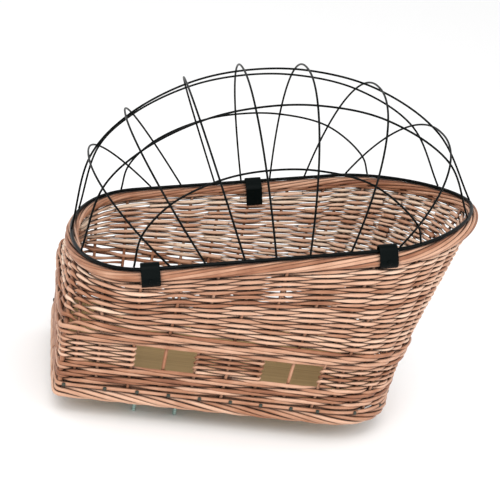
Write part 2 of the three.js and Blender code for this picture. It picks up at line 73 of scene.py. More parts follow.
def tint(code):
    """A colour written as #RRGGBB, as the linear red, green, blue and alpha that nodes take. By the sRGB
    curve this is a straight line near black and a power of 2.4 above it."""
    part = np.array([int(code[i:i + 2], 16) for i in (1, 3, 5)]) / 255
    part = np.where(part <= 0.04045, part / 12.92, ((part + 0.055) / 1.055) ** 2.4)
    return (*part.tolist(), 1.0)


def per_metre(size):
    """How often a pattern of this size in millimetres fits in a metre, which is a node's scale."""
    return 1 / MM / size


def add_node(tree, kind, inputs, **settings):
    """Adds a node with these settings. An input given a socket is linked to it, and others are set."""
    node = tree.nodes.new(kind)
    for key, value in settings.items():
        setattr(node, key, value)
    for key, value in inputs.items():
        if isinstance(value, bpy.types.NodeSocket):
            tree.links.new(value, node.inputs[key])
        else:
            node.inputs[key].default_value = value
    return node


def new_material(name):
    """A material with its node tree and its shader."""
    material = bpy.data.materials.new(name)
    material.use_nodes = True
    return material, material.node_tree, material.node_tree.nodes["Principled BSDF"]


def dress(solid, material):
    """Gives a solid that is shown as it is this material alone."""
    frame["nodes"][solid].data.materials.clear()
    frame["nodes"][solid].data.materials.append(material)


# Sanded plywood: long khaki grain lines in a dull surface read as bare veneer through the windows.
plywood, tree, shader = new_material("sanded_plywood")
place = add_node(tree, "ShaderNodeTexCoord", {})
grain_place = add_node(tree, "ShaderNodeMapping", {
    "Vector": place.outputs["Object"],
    "Scale": [per_metre(size) for size in (BOARD_GRAIN_LENGTH, BOARD_GRAIN_WIDTH, BOARD_GRAIN_WIDTH)]})
grain = add_node(tree, "ShaderNodeTexNoise", {"Vector": grain_place.outputs[0], "Scale": 1, "Detail": 3})
veneer = add_node(tree, "ShaderNodeMix", {
    MIX_SHARE: grain.outputs[0], MIX_FROM: tint("#8E7748"), MIX_TO: tint("#C0A272")}, data_type="RGBA")
tree.links.new(veneer.outputs[MIX_RESULT], shader.inputs["Base Color"])
shader.inputs["Roughness"].default_value = 0.7
dress("floor_board", plywood)

# Stakes
# Forty-two upright willow rods, closer at the rear, on which all the rest is woven. One stands bare in the
# middle of each window, one at each of its ends and a thick one in each front corner.
STAKES, STAKE_THICK, STAKE_TONES = 42, 4.4, (0.2, 0.5)
CORNER_STAKES, CORNER_THICK = (3, 38), 7.0
STAKE_LEVELS, STAKE_POINTS = (-0.04, 2.04), 40
# Some stakes' places round half of the basket, from front middle to rear middle, at the waist and the rim
STAKE_MARKS = (-0.5, 3, 4, 5, 6, 7, 10, 12, 20.5)
STAKE_WAIST = (0, 141, 158, 186, 228, 269, 392, 474, 695)
STAKE_HEAD = (0, 54, 86, 136, 190, 241, 367, 475, 727)
# The rim's plane goes through the hinge's line and slopes as that does
ACROSS, UP = np.array([0.0, 1.0, 0.0]), np.array([0.0, 0.0, 1.0])
hinge = next(joint for joint in frame["joints"] if joint["name"] == "grille_hinge")
RIM_MIDDLE = np.array(hinge["pos_m"]) * (1, 0, 1) / MM
RIM_ALONG = np.array(hinge["axis"])
RIM_UP = np.cross(RIM_ALONG, ACROSS)
RIM_LENGTH, RIM_HALF_WIDTH = 534.0, -hinge["pos_m"][1] / MM
RIM_FRONT_CORNER, RIM_FRONT_POWER, RIM_REAR_CORNER, RIM_REAR_POWER = 95.0, 2.2, 150.0, 1.65
# Outlines: length, half width, then how far corners reach along the sides and their power, front and rear
FOOT_OUTLINE = (450, 137.5, 4, 3.4, 112, 2.3)
WAIST_OUTLINE, WAIST_HEIGHT, WAIST_SHIFT = (465, 143, 6, 3.4, 125, 2.3), 78.0, 3.0
RIM_OUTLINE = (RIM_LENGTH, RIM_HALF_WIDTH,
               RIM_FRONT_CORNER, RIM_FRONT_POWER, RIM_REAR_CORNER, RIM_REAR_POWER)
# The rim's border swells towards the rear. The wall ends just under it, set in from its middle at the rear
BORDER_TOP, BORDER_HEIGHT, RIM_BORDER_WIDTH = -2.6, 17.0, 19.0
THIN_BORDER, BORDER_SWELL = 0.74, (-190, 60)
WALL_GAP, REAR_INSET, INSET_START = 0.3, 6.0, 120
# Sizes of willow's streaks and blotches, their shares in its shade, and the painted shade where other rods
# stand close: how far it looks for them, and the occlusion at which it is full and at which it is gone
STREAK_LENGTH, STREAK_WIDTH, BLOTCH_SIZE = 45.0, 1.1, 22.0
STREAK_SHARE, BLOTCH_SHARE, SHADE_SHIFT = 0.55, 0.35, 0.45
PAINTED_SHADE_REACH, PAINTED_SHADE_FULL, PAINTED_SHADE_NONE = 7.0, 0.22, 0.98
chance = np.random.default_rng(11)


def outline(length, half_width, front_corner, front_power, rear_corner, rear_power, count=1440, fine=400):
    """Points spaced evenly round a rounded outline: straight sides between two ends, where the width
    falls off as a superellipse of the given power. They go from the front's middle along the -Y side."""
    turn = np.linspace(0, np.pi / 2, fine)
    sine, cosine = np.sin(turn), np.cos(turn).clip(0)
    along = np.r_[front_corner * (1 - cosine ** (2 / front_power)) - length / 2,
                  length / 2 - rear_corner * (1 - sine ** (2 / rear_power))]
    across = -half_width * np.r_[sine ** (2 / front_power), cosine ** (2 / rear_power)]
    along, across = np.r_[along, along[-2::-1]], np.r_[across, -across[-2::-1]]
    run = np.r_[0, np.cumsum(np.hypot(np.diff(along), np.diff(across)))]
    spots = np.linspace(0, run[-1], count, endpoint=False)
    return np.stack([np.interp(spots, run, along), np.interp(spots, run, across)], 1)


def from_rim(spot):
    """Points given along, across and above the rim's plane, in the basket's own axes."""
    return RIM_MIDDLE + spot @ np.stack([RIM_ALONG, ACROSS, RIM_UP])


RIM = outline(*RIM_OUTLINE)
FOOT_LINE = np.c_[outline(*FOOT_OUTLINE), np.zeros(len(RIM))]
WAIST_LINE = np.c_[outline(*WAIST_OUTLINE) + (WAIST_SHIFT, 0), np.full(len(RIM), WAIST_HEIGHT)]
RIM_BORDER_HALF = BORDER_HEIGHT / 2 * np.interp(RIM[:, 0], BORDER_SWELL, (THIN_BORDER, 1))
HEAD_INSET = np.interp(RIM[:, 0], (INSET_START, RIM_LENGTH / 2), (0, REAR_INSET))
BORDER_FOOT = BORDER_TOP - RIM_BORDER_HALF * (1 + np.sqrt(1 - (2 * HEAD_INSET / RIM_BORDER_WIDTH) ** 2))
HEAD_LINE = from_rim(np.c_[RIM[:, 0] - HEAD_INSET, RIM[:, 1], BORDER_FOOT - WALL_GAP])


def around(line, share):
    """The points of a closed line at these shares of its way round, evenly between its own points."""
    spot = np.asarray(share) % 1 * len(line)
    low = np.floor(spot).astype(int) % len(line)
    part = (spot - np.floor(spot))[..., None]
    return line[low] * (1 - part) + line[(low + 1) % len(line)] * part


def share_of(stake, places):
    """How far round the basket a stake stands, by its number: its place between the marks over the whole
    way round, and on the far side one less the like. Parts of numbers lie between stakes."""
    stake = (np.asarray(stake, float) + 0.5) % STAKES - 0.5
    far = stake > STAKES / 2 - 0.5
    near = np.interp(np.where(far, STAKES - 1 - stake, stake), STAKE_MARKS, places) / (2 * places[-1])
    return np.where(far, 1 - near, near)


def ruled(stake, level):
    """The wall's middle surface: straight from the foot at level 0 to the waist at 1 and the rim at 2."""
    share = share_of(stake, STAKE_WAIST)
    foot, waist = around(FOOT_LINE, share), around(WAIST_LINE, share)
    head = around(HEAD_LINE, share_of(stake, STAKE_HEAD))
    level = np.broadcast_to(level, foot.shape[:-1])[..., None]
    return np.where(level < 1, foot + (waist - foot) * level, waist + (head - waist) * (level - 1))


def wall(stake, level, beside=0.15, above=0.1):
    """Points of the wall's middle and the outward normal: a short way round crossed with a short way up."""
    stake = np.asarray(stake, float)
    go = ruled(stake + beside, level) - ruled(stake - beside, level)
    normal = np.cross(go, ruled(stake, level + above) - ruled(stake, level - above))
    return ruled(stake, level), normal / np.linalg.norm(normal, axis=-1, keepdims=True)


def circle(sides):
    """Points evenly spaced on a circle of radius 1."""
    turn = np.arange(sides) * 2 * np.pi / sides
    return np.stack([np.cos(turn), np.sin(turn)], 1)


def rod_mesh(name, rods, section, closed=False):
    """Skins of rods in one mesh. Each rod is a path, a direction that stays across it, two half
    thicknesses and a tone. The section's pairs are stretched by the first thickness square to that
    direction and by the second along it. UV runs along and round each rod in millimetres."""
    points, faces, marks, tones, first, sides = [], [], [], [], 0, len(section)
    for path, across, deep, high, tone in rods:
        count = len(path)
        way = np.roll(path, -1, 0) - np.roll(path, 1, 0) if closed else np.gradient(path, axis=0)
        way = way / np.linalg.norm(way, axis=1, keepdims=True)
        over = across - (across * way).sum(1, keepdims=True) * way
        over = over / np.linalg.norm(over, axis=1, keepdims=True)
        deep, high, tone = (np.broadcast_to(value, count) for value in (deep, high, tone))
        skin = path[:, None] + (deep[:, None] * section[:, 0])[..., None] * np.cross(over, way)[:, None]
        skin = skin + (high[:, None] * section[:, 1])[..., None] * over[:, None]
        i, k = np.indices((count if closed else count - 1, sides))
        turn, step = (k + 1) % sides, (i + 1) % count
        quads = np.stack([i * sides + k, i * sides + turn, step * sides + turn, step * sides + k], -1)
        ends = [] if closed else [np.arange(sides)[::-1], np.arange(sides) + (count - 1) * sides]
        faces += (quads.reshape(-1, 4) + first).tolist() + [(end + first).tolist() for end in ends]
        run = np.r_[0, np.cumsum(np.linalg.norm(np.diff(path, axis=0), axis=1))]
        run = np.append(run, run[-1] * count / (count - 1))
        girth = np.pi * (deep + high).mean() / sides
        mark = np.stack([np.stack([run[i], run[i], run[i + 1], run[i + 1]], -1),
                         np.stack([k, k + 1, k + 1, k], -1) * girth], -1)
        marks += [mark.reshape(-1, 2)] + [np.zeros((sides, 2))] * len(ends)
        points.append(skin.reshape(-1, 3))
        tones.append(np.repeat(tone, sides))
        first += count * sides
    mesh = bpy.data.meshes.new(name)
    mesh.from_pydata(np.concatenate(points) * MM, [], faces)
    marks = np.concatenate(marks).astype(np.float32)
    mesh.uv_layers.new(name="rod").uv.foreach_set("vector", marks.ravel())
    mesh.attributes.new("tone", "FLOAT", "POINT").data.foreach_set("value", np.concatenate(tones))
    mesh.polygons.foreach_set("use_smooth", np.ones(len(mesh.polygons), bool))
    return mesh


def add_piece(mesh, material, body, slot, *solids):
    """Shows a mesh as a piece of its name that rides on a body, and hides the solids that it stands for."""
    piece = bpy.data.objects.new(mesh.name, mesh)
    bpy.context.scene.collection.objects.link(piece)
    mesh.materials.append(material)
    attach(piece, body)
    if solids:
        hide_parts(*solids)


def willow(name, shades):
    """Peeled willow. The rod's tone, raised by painted light on the far wall, plus shares of a noise
    streaked along it and of blotches, picks a shade from dark to pale, which is darkened by painted shade
    where other rods stand close."""
    material, tree, shader = new_material(name)
    tone = add_node(tree, "ShaderNodeAttribute", {}, attribute_name="tone")
    rod = add_node(tree, "ShaderNodeUVMap", {}, uv_map="rod")
    place = add_node(tree, "ShaderNodeTexCoord", {})
    streak_place = add_node(tree, "ShaderNodeMapping", {
        "Vector": rod.outputs[0], "Scale": (1 / STREAK_LENGTH, 1 / STREAK_WIDTH, 1)})
    streak = add_node(tree, "ShaderNodeTexNoise", {
        "Vector": streak_place.outputs[0], "Scale": 1, "Detail": 3})
    blotch = add_node(tree, "ShaderNodeTexNoise", {
        "Vector": place.outputs["Object"], "Scale": per_metre(BLOTCH_SIZE)})
    mixed = add_node(tree, "ShaderNodeMath", {0: streak.outputs[0], 1: STREAK_SHARE}, operation="MULTIPLY")
    mixed = add_node(tree, "ShaderNodeMath", {
        0: blotch.outputs[0], 1: BLOTCH_SHARE, 2: mixed.outputs[0]}, operation="MULTIPLY_ADD")
    mixed = add_node(tree, "ShaderNodeMath", {0: tone.outputs["Fac"], 1: mixed.outputs[0]}, operation="ADD")
    mixed = add_node(tree, "ShaderNodeMath", {0: mixed.outputs[0], 1: SHADE_SHIFT}, operation="SUBTRACT")
    shade = add_node(tree, "ShaderNodeValToRGB", {"Fac": mixed.outputs[0]})
    stops = shade.color_ramp.elements
    while len(stops) < len(shades):
        stops.new(0.5)
    for i, code in enumerate(shades):
        stops[i].position = i / (len(shades) - 1)
        stops[i].color = tint(code)
    bump = add_node(tree, "ShaderNodeBump", {
        "Height": streak.outputs[0], "Strength": 0.3, "Distance": 0.4 * MM})
    # Painted shade: where other rods stand within reach, the colour is mixed towards a near-black brown
    occlusion = add_node(tree, "ShaderNodeAmbientOcclusion", {"Distance": PAINTED_SHADE_REACH * MM}, samples=6)
    clear = add_node(tree, "ShaderNodeMapRange", {
        "Value": occlusion.outputs["AO"], "From Min": PAINTED_SHADE_FULL, "From Max": PAINTED_SHADE_NONE},
        interpolation_type="SMOOTHSTEP")
    painted_shade = add_node(tree, "ShaderNodeMix", {
        MIX_SHARE: clear.outputs[0], MIX_FROM: tint("#1E0C06"), MIX_TO: shade.outputs[0]}, data_type="RGBA")
    tree.links.new(painted_shade.outputs[MIX_RESULT], shader.inputs["Base Color"])
    tree.links.new(bump.outputs[0], shader.inputs["Normal"])
    shader.inputs["Roughness"].default_value = 0.5
    shader.inputs["Specular IOR Level"].default_value = 0.35
    return material


ROUND = circle(8)
# Buff willow: pinkish tan rods, some pale and some brown, are what makes the weave read as single rods.
buff = willow("buff_willow", ("#70412B", "#9E6B4E", "#C2957A", "#D8B096", "#E4CBB4"))
stakes = []
for number in range(STAKES):
    spot, normal = wall(np.full(STAKE_POINTS, number), np.linspace(*STAKE_LEVELS, STAKE_POINTS))
    half = (CORNER_THICK if number in CORNER_STAKES else STAKE_THICK) / 2
    stakes.append((spot, normal[0], half, half, chance.uniform(*STAKE_TONES)))
add_piece(rod_mesh("stakes", stakes, ROUND), buff, "basket", "willow",
          "window_stake_near_front", "window_stake_near_rear",
          "window_stake_far_front", "window_stake_far_rear")

# Lower wall
# Thick willow rods are waled below the windows, and finer ones between the windows turn back at their
# ends. A plain rod is nailed on along the bottom, and one inside closes the joint with the floor board.
NAILED_RODS, NAILED_ROD_HEIGHT, NAILED_ROD_THICK, NAILED_ROD_OUT = 3, 3.2, 5.0, 4.2
NAILED_TONES, NAILED_END, NAILED_TUCK, NAILED_TUCK_REACH = (0.3, 0.5), 0.5, 3.0, 0.8
INNER_ROD_HEIGHT, INNER_ROD_THICK, INNER_ROD_OUT = 3.0, 6.0, -5.6
INNER_ROD_TONE, INNER_ROD_START = 0.4, -0.5
LOWER_ROWS, LOWER_THICK = np.linspace(8.2, 33.0, 7), 5.1
# Waling: stakes from one stop behind to the next, stops that a rod passes, and stakes between rows' starts
WALE, WALED_STOPS, WALED_SHIFT = 3, 5, 6
WALED_TONES, WALED_STRAY, WALED_PINCH = (0.12, 0.58), 0.25, 0.24
WINDOW_ROWS, WINDOW_ROD_THICK = np.linspace(37.6, 63.6, 8), 4.3
WINDOW_SPANS, WINDOW_TURN_OUT = ((8, 10), (12, 29), (31, 33), (35, 48)), 0.06
WINDOW_TURN = np.linspace(0, np.pi, 8)[1:-1]
WINDOW_TONE, WINDOW_TONE_SWAY, WINDOW_TONE_RUN = 0.42, 0.25, 40
# How far rods swing out and rise in front of stakes, and how far they are pinched between
SWING, RISE, PINCH = 3.4, 1.5, 0.46
# A rod's half depth over its thickness, its taper, and its points' spacing in stakes
ROD_DEPTH, ROD_TAPER, ROD_STEP = 0.44, (1.08, 0.9), 0.1
# How far a rod runs on past its last stakes, and how far it is tucked in there
ROD_END, END_TUCK, END_TUCK_REACH = 0.4, 0.7, 0.7


def level_at(stake, height):
    """The wall's level at these heights above the floor board's underside: the share of the way to the
    waist, or past it one and the share of the way on to the head."""
    head = around(HEAD_LINE, share_of(stake, STAKE_HEAD))[..., 2]
    return np.where(height < WAIST_HEIGHT, height / WAIST_HEIGHT,
                    1 + (height - WAIST_HEIGHT) / (head - WAIST_HEIGHT))


def stake_run(first, last, past, step=ROD_STEP):
    """Stake numbers in even steps, from a little before the first stake to as far past the last."""
    return np.arange(first - past, last + past + step / 2, step)


def woven_rod(stake, lean, level, thick, tone, out=0.0, rise=RISE, pinch=PINCH):
    """A rod that follows the wall, swung outwards by lean times the swing past a fixed step out. It rises
    at the front and is pinched where it crosses over, so that a lens of it shows in front of a stake."""
    spot, normal = wall(stake, level)
    pinch = 1 - pinch * (1 - np.abs(lean).clip(max=1))
    spot = spot + normal * (SWING * lean + out)[:, None] + UP * (rise * lean)[:, None]
    return spot, UP, thick * ROD_DEPTH, thick / 2 * pinch, tone


def plain_rod(stake, height, thick, tone, out):
    """A rod that lies along the wall at one height, a step out from its middle, and isn't woven."""
    return woven_rod(stake, np.ones(len(stake)), level_at(stake, height - RISE), thick, tone, out - SWING)


def lean_of(stake, behind):
    """1 in front of the stakes and -1 behind those listed, as a cosine of the way to the nearest of them.
    Past either end of the list, and at its first stake, the rod is tucked further in."""
    gap = np.abs(stake[:, None] - np.asarray(behind, float)).min(1)
    lean = -np.cos(np.pi * gap.clip(max=1))
    beyond = np.maximum(behind[0] - stake, stake - behind[-1])
    lean = np.where(beyond > 0, -1 - beyond, lean)
    return lean - END_TUCK * (1 - np.abs(stake - behind[0]) / END_TUCK_REACH).clip(0)


def waled_row(row, height, thick, out=0.0):
    """One row of waling, in three rods end to end, each over two stakes and behind one. The next row
    starts some stakes further on."""
    stops = row % WALE + WALED_SHIFT * row + np.arange(0, STAKES + 1, WALE)
    rods = []
    for low in range(0, len(stops) - 1, WALED_STOPS):
        behind = stops[low:low + WALED_STOPS + 1]
        stake = stake_run(behind[0], behind[-1], ROD_END)
        level = level_at(stake, height + chance.normal(0, WALED_STRAY))
        taper = thick * np.linspace(*ROD_TAPER, len(stake))
        tone = chance.uniform(*WALED_TONES)
        rods.append(woven_rod(stake, lean_of(stake, behind), level, taper, tone, out, pinch=WALED_PINCH))
    return rods


lower = []
for row, height in enumerate(LOWER_ROWS):
    lower += waled_row(row, height, LOWER_THICK)
for low in range(0, STAKES, STAKES // NAILED_RODS):
    stake = stake_run(low, low + STAKES // NAILED_RODS, NAILED_END)
    tuck = NAILED_TUCK * (1 - np.abs(stake - low) / NAILED_TUCK_REACH).clip(0)
    lower.append(plain_rod(stake, NAILED_ROD_HEIGHT, NAILED_ROD_THICK, chance.uniform(*NAILED_TONES),
                           NAILED_ROD_OUT - tuck))
stake = np.arange(INNER_ROD_START, STAKES, ROD_STEP)
lower.append(plain_rod(stake, INNER_ROD_HEIGHT, INNER_ROD_THICK, INNER_ROD_TONE, INNER_ROD_OUT))
for low, high in WINDOW_SPANS:
    stake, lean, height = [], [], []
    for row, here in enumerate(WINDOW_ROWS):
        way = -1 if row % 2 else 1
        go = stake_run(low, high, 0)[::way]
        stake.append(go)
        lean.append(np.cos(np.pi * (go + row)))
        height.append(np.full(len(go), here))
        if row + 1 < len(WINDOW_ROWS):
            stake.append(go[-1] + way * WINDOW_TURN_OUT * np.sin(WINDOW_TURN))
            lean.append(lean[-1][-1] * np.cos(WINDOW_TURN))
            height.append(here + (WINDOW_ROWS[row + 1] - here) * WINDOW_TURN / np.pi)
    stake, lean, height = (np.concatenate(part) for part in (stake, lean, height))
    tone = WINDOW_TONE + WINDOW_TONE_SWAY * np.sin(np.arange(len(stake)) / WINDOW_TONE_RUN + low)
    lower.append(woven_rod(stake, lean, level_at(stake, height), WINDOW_ROD_THICK, tone))
add_piece(rod_mesh("lower_weave", lower, ROUND), buff, "basket", "willow", "lower_wall")

# Tacks
# A square dark steel tack by most stakes holds the nailed rod to the floor board. They are small but
# regular, and the eye finds them as a dotted line round the foot.
TACK_WIDTH, TACK_PAST_STAKE, TACK_CORNER_POWER = 4.4, 0.3, 0.35
TACKED = (3, *range(5, 13), *range(14, 28, 2), *range(29, 37), 38)
# How far a tack's sections stand out from the rod, and how wide they are
TACK_STAND, TACK_TAPER = np.array([-1.5, 0.3, 0.8, 1.0]), np.array([1, 1, 0.93, 0.75])
# Only willow makes use of a tone
NO_TONE = 0.5
SQUARE = np.sign(ROUND) * np.abs(ROUND) ** TACK_CORNER_POWER
# Blued steel: dark grey-green heads, dull enough to read as dots and not as glints.
blued, tree, shader = new_material("blued_steel")
shader.inputs["Base Color"].default_value = tint("#3C4038")
shader.inputs["Metallic"].default_value = 0.4
shader.inputs["Roughness"].default_value = 0.6
tacks = []
for number in TACKED:
    stake = np.full(len(TACK_STAND), number + TACK_PAST_STAKE)
    spot, normal = wall(stake, level_at(stake, NAILED_ROD_HEIGHT))
    stand = NAILED_ROD_OUT + NAILED_ROD_THICK * ROD_DEPTH + TACK_STAND
    half = TACK_WIDTH / 2 * TACK_TAPER
    tacks.append((spot + normal * stand[:, None], UP, half, half, NO_TONE))
add_piece(rod_mesh("tacks", tacks, SQUARE), blued, "basket", "zinc")

# Foot border
# Thick willow rods wound round the bottom edge close the wall's foot and hide the board's edge. Seen from
# outside they all run down towards the rear.
FOOT_BORDER_WIDTH, FOOT_BORDER_HEIGHT, FOOT_BORDER_MIDDLE = 16.0, 16.5, -8.5
FOOT_STRANDS, FOOT_STRAND_THICK, FOOT_STRANDS_PER_TURN, FOOT_TONES = 40, 5.4, 6, (0.28, 0.68)
# Which way its strands wind, and from what angle and through how many degrees
FOOT_SENSE, FOOT_START, FOOT_SWEEP = -1, -165, 330
# Any border's strands: their points, how far they stray from even spacing, and how deep their ends sink in
STRAND_POINTS, STRAND_STRAY, STRAND_SINK, STRAND_SINK_POWER = 90, 0.12, 0.45, 12
FOOT_CORE_HALF_HEIGHT, FOOT_CORE_HALF_WIDTH, CORE_TONE, CORE_STEP = 4.4, 4.2, 0.5, 8


def wound_strands(middle, outward, upward, thick, strands, per_turn, sense, start, sweep, tones):
    """Rods wound round a closed line in long turns. Each follows an ellipse, given by its half axes
    outwards and upwards all along the line, by an angle that grows evenly from start through sweep
    degrees. Its ends sink in by a high power of the way from its middle."""
    step = np.linspace(0, 1, STRAND_POINTS)
    turn = np.radians(sense * (start + sweep * step))[:, None]
    sink = 1 - STRAND_SINK * (np.abs(step - 0.5) * 2)[:, None] ** STRAND_SINK_POWER
    half = thick / 2 * np.linspace(*ROD_TAPER, STRAND_POINTS)
    rods = []
    for number in range(strands):
        stray = chance.uniform(-STRAND_STRAY, STRAND_STRAY)
        share = (number + stray + step * per_turn * sweep / 360) / strands
        radial = around(outward, share) * np.cos(turn) + around(upward, share) * np.sin(turn)
        rods.append((around(middle, share) + radial * sink, radial, half, half, chance.uniform(*tones)))
    return rods


def outward_of(line, spread=9):
    """Level steps out of a closed line, one millimetre square to it, which lean into its corners to keep
    them sharp: the mean of the normals nearby, over its part along the normal."""
    go = np.roll(line, -1, 0) - np.roll(line, 1, 0)
    out = np.stack([go[:, 1], -go[:, 0]], 1)
    out = out / np.linalg.norm(out, axis=1, keepdims=True)
    mean = sum(np.roll(out, i, 0) for i in range(-spread, spread + 1))
    return mean / (mean * out).sum(1, keepdims=True)


foot_out = np.c_[outward_of(FOOT_LINE[:, :2]), np.zeros(len(RIM))]
foot_up = np.tile(UP, (len(RIM), 1))
foot_middle = FOOT_LINE + UP * FOOT_BORDER_MIDDLE
border = wound_strands(foot_middle, foot_out * (FOOT_BORDER_WIDTH - FOOT_STRAND_THICK) / 2,
                       foot_up * (FOOT_BORDER_HEIGHT - FOOT_STRAND_THICK) / 2, FOOT_STRAND_THICK,
                       FOOT_STRANDS, FOOT_STRANDS_PER_TURN, FOOT_SENSE, FOOT_START, FOOT_SWEEP, FOOT_TONES)
add_piece(rod_mesh("foot_border_strands", border, ROUND), buff, "basket", "willow_border", "foot_border")
# Willow painted dark, as painted shade for the border's middle, which shows only as dark slits between its
# strands.
shaded = willow("shaded_willow", ("#3A1C10", "#4A2616", "#5A3120"))
core = [(foot_middle[::CORE_STEP], foot_out[::CORE_STEP],
         FOOT_CORE_HALF_HEIGHT, FOOT_CORE_HALF_WIDTH, CORE_TONE)]
add_piece(rod_mesh("foot_border_core", core, ROUND, closed=True), shaded, "basket", "willow_border")

# Waling band
# Five rows of thick willow waling at the waist, beaten down close. They stand out from the wall and cover
# the step in its slope.
WALING_ROWS, WALING_THICK, WALING_OUT = np.linspace(69.3, 86.5, 5), 5.4, 2.9
waling = []
for row, height in enumerate(WALING_ROWS):
    waling += waled_row(row, height, WALING_THICK, WALING_OUT)
add_piece(rod_mesh("waling", waling, ROUND), buff, "basket", "willow", "waling_band")

# Upper wall
# Plain weave of willow, over one stake and behind the next. The wall is far higher at the rear than at
# the front, so pairs of short rows are worked in round the rear, each ending behind a stake.
UPPER_FOOT, UPPER_HEAD = 10.5, 0.3
FRONT_PITCH, REAR_PITCH, PITCH_STAKES = 3.8, 3.6, (3, 8)
SHORT_ROWS_FOOT, SHORT_ROWS_SPAN, GOLDEN_SHARE, JUST_ABOVE = 0.06, 0.88, 0.618034, 1e-6
# A rod's thickness over the pitch, the share of it at a short row's tips, and over how many stakes it grows
ROD_FILL, ROD_TIP, TIP_STAKES, UPPER_STEP = 1.42, 0.5, 3, 0.125
# A rod passes five to seven stops, or all that are left where they are fewer than nine
ROD_STOPS, LONG_REST = (5, 8), 9
UPPER_TAPER, THICK_SPREAD, LEAN_SPREAD, LEVEL_STRAY = (1.06, 0.94), (0.96, 1.04), (0.95, 1.05), 0.002
UPPER_TONE, UPPER_TONE_STRAY, UPPER_TONE_LIMITS = 0.56, 0.18, (0.12, 0.84)
# The far wall's rods rise less and are painted paler, as painted light on the wall's inside, fully so up to
# the first number of stakes from its middle
FAR_MIDDLE, FAR_STAKES, FAR_RISE, FAR_PAINTED_LIGHT = STAKES * 0.75, (8, 13), 0.3, 0.15
# By two near stakes the rods are slack: they rise more, are thinner and let light through
SLACK_STAKES, SLACK_LEVEL, SLACK_RISE, SLACK_THIN = (7, 10), 1.74, 2.0, 0.25
SLACK_REACH, SLACK_HEIGHT = 0.6, 0.16


def smooth(stake, marks, values):
    """A cubic curve through values at evenly spaced marks. Its slope at a mark is that of the chord between
    the marks beside it."""
    slope = np.gradient(values)
    spot = (stake - marks[0]).clip(0, len(marks) - 1)
    low = np.minimum(np.floor(spot).astype(int), len(marks) - 2)
    t = spot - low
    return (values[low] * (1 + 2 * t) * (1 - t) ** 2 + slope[low] * t * (1 - t) ** 2
            + values[low + 1] * t * t * (3 - 2 * t) + slope[low + 1] * t * t * (t - 1))


numbers = np.arange(STAKES)
from_front = np.minimum(numbers, STAKES - 1 - numbers)
rise_to_head = ruled(numbers, 2.0)[:, 2] - WAIST_HEIGHT
room = rise_to_head - UPPER_FOOT - UPPER_HEAD
count = 2 * np.round(room / np.interp(from_front, PITCH_STAKES, (FRONT_PITCH, REAR_PITCH)) / 2).astype(int)
count = np.maximum.accumulate(count[:STAKES // 2])
# Each row's place between foot and head, and its first stake. The golden section spreads the short rows
rows = [(spot, 0) for spot in (np.arange(count[0]) + 0.5) / count[0]]
for pair in range(1, (count[-1] - count[0]) // 2 + 1):
    spot = SHORT_ROWS_FOOT + SHORT_ROWS_SPAN * (pair * GOLDEN_SHARE % 1)
    first = int(np.argmax(count >= count[0] + 2 * pair))
    rows += [(spot, first), (spot + JUST_ABOVE, first)]
rows.sort()
begins = np.array([first for spot, first in rows])
# How full each row is at each stake: a short row's rods are thin at their tips
full = ((from_front[None] - begins[:, None] + 1) / TIP_STAKES).clip(0, 1)
full = np.where(begins[:, None] == 0, 1.0, full)
pitch = room / full.sum(0)
levels = 1 + (UPPER_FOOT + (np.cumsum(full, axis=0) - full / 2) * pitch) / rise_to_head
upper = []
for row, first in enumerate(begins):
    if first == 0:
        begin = 2 * int(chance.integers(STAKES // 2)) + (row + 1) % 2
        behind = np.arange(begin, begin + STAKES + 1, 2)
    else:
        behind = np.arange(first + (first + row + 1) % 2, STAKES - first, 2)
    if len(behind) < 2:
        continue
    marks = np.arange(behind[0], behind[-1] + 1)
    cuts = [0]
    while cuts[-1] < len(behind) - 1:
        rest = len(behind) - 1 - cuts[-1]
        cuts.append(cuts[-1] + (rest if rest < LONG_REST else int(chance.integers(*ROD_STOPS))))
    for low, high in zip(cuts, cuts[1:]):
        stops = behind[low:high + 1]
        stake = stake_run(stops[0], stops[-1], ROD_END, UPPER_STEP)
        level = smooth(stake, marks, levels[row, marks % STAKES]) + chance.normal(0, LEVEL_STRAY)
        taper = np.linspace(*UPPER_TAPER, len(stake)) * chance.uniform(*THICK_SPREAD)
        taper = taper * ROD_FILL * smooth(stake, marks, pitch[marks % STAKES])
        taper = taper * (ROD_TIP + (1 - ROD_TIP) * smooth(stake, marks, full[row, marks % STAKES]))
        far = np.interp(np.abs(stake % STAKES - FAR_MIDDLE), FAR_STAKES, (1, 0))
        # A far rod's tone is raised by painted light, which stands in for light falling on the far wall's
        # inside
        tone = np.clip(chance.normal(UPPER_TONE, UPPER_TONE_STRAY), *UPPER_TONE_LIMITS) + FAR_PAINTED_LIGHT * far
        aside = np.abs(stake[:, None] % STAKES - np.array(SLACK_STAKES)).min(1)
        slack = np.exp(-(aside / SLACK_REACH) ** 2 - ((level - SLACK_LEVEL) / SLACK_HEIGHT) ** 2)
        taper = taper * (1 - SLACK_THIN * slack)
        lean = lean_of(stake, stops) * chance.uniform(*LEAN_SPREAD)
        rise = RISE + (FAR_RISE - RISE) * far
        upper.append(woven_rod(stake, lean, level, taper, tone, rise=rise + SLACK_RISE * slack))
add_piece(rod_mesh("upper_weave", upper, ROUND), buff, "basket", "willow", "upper_wall")

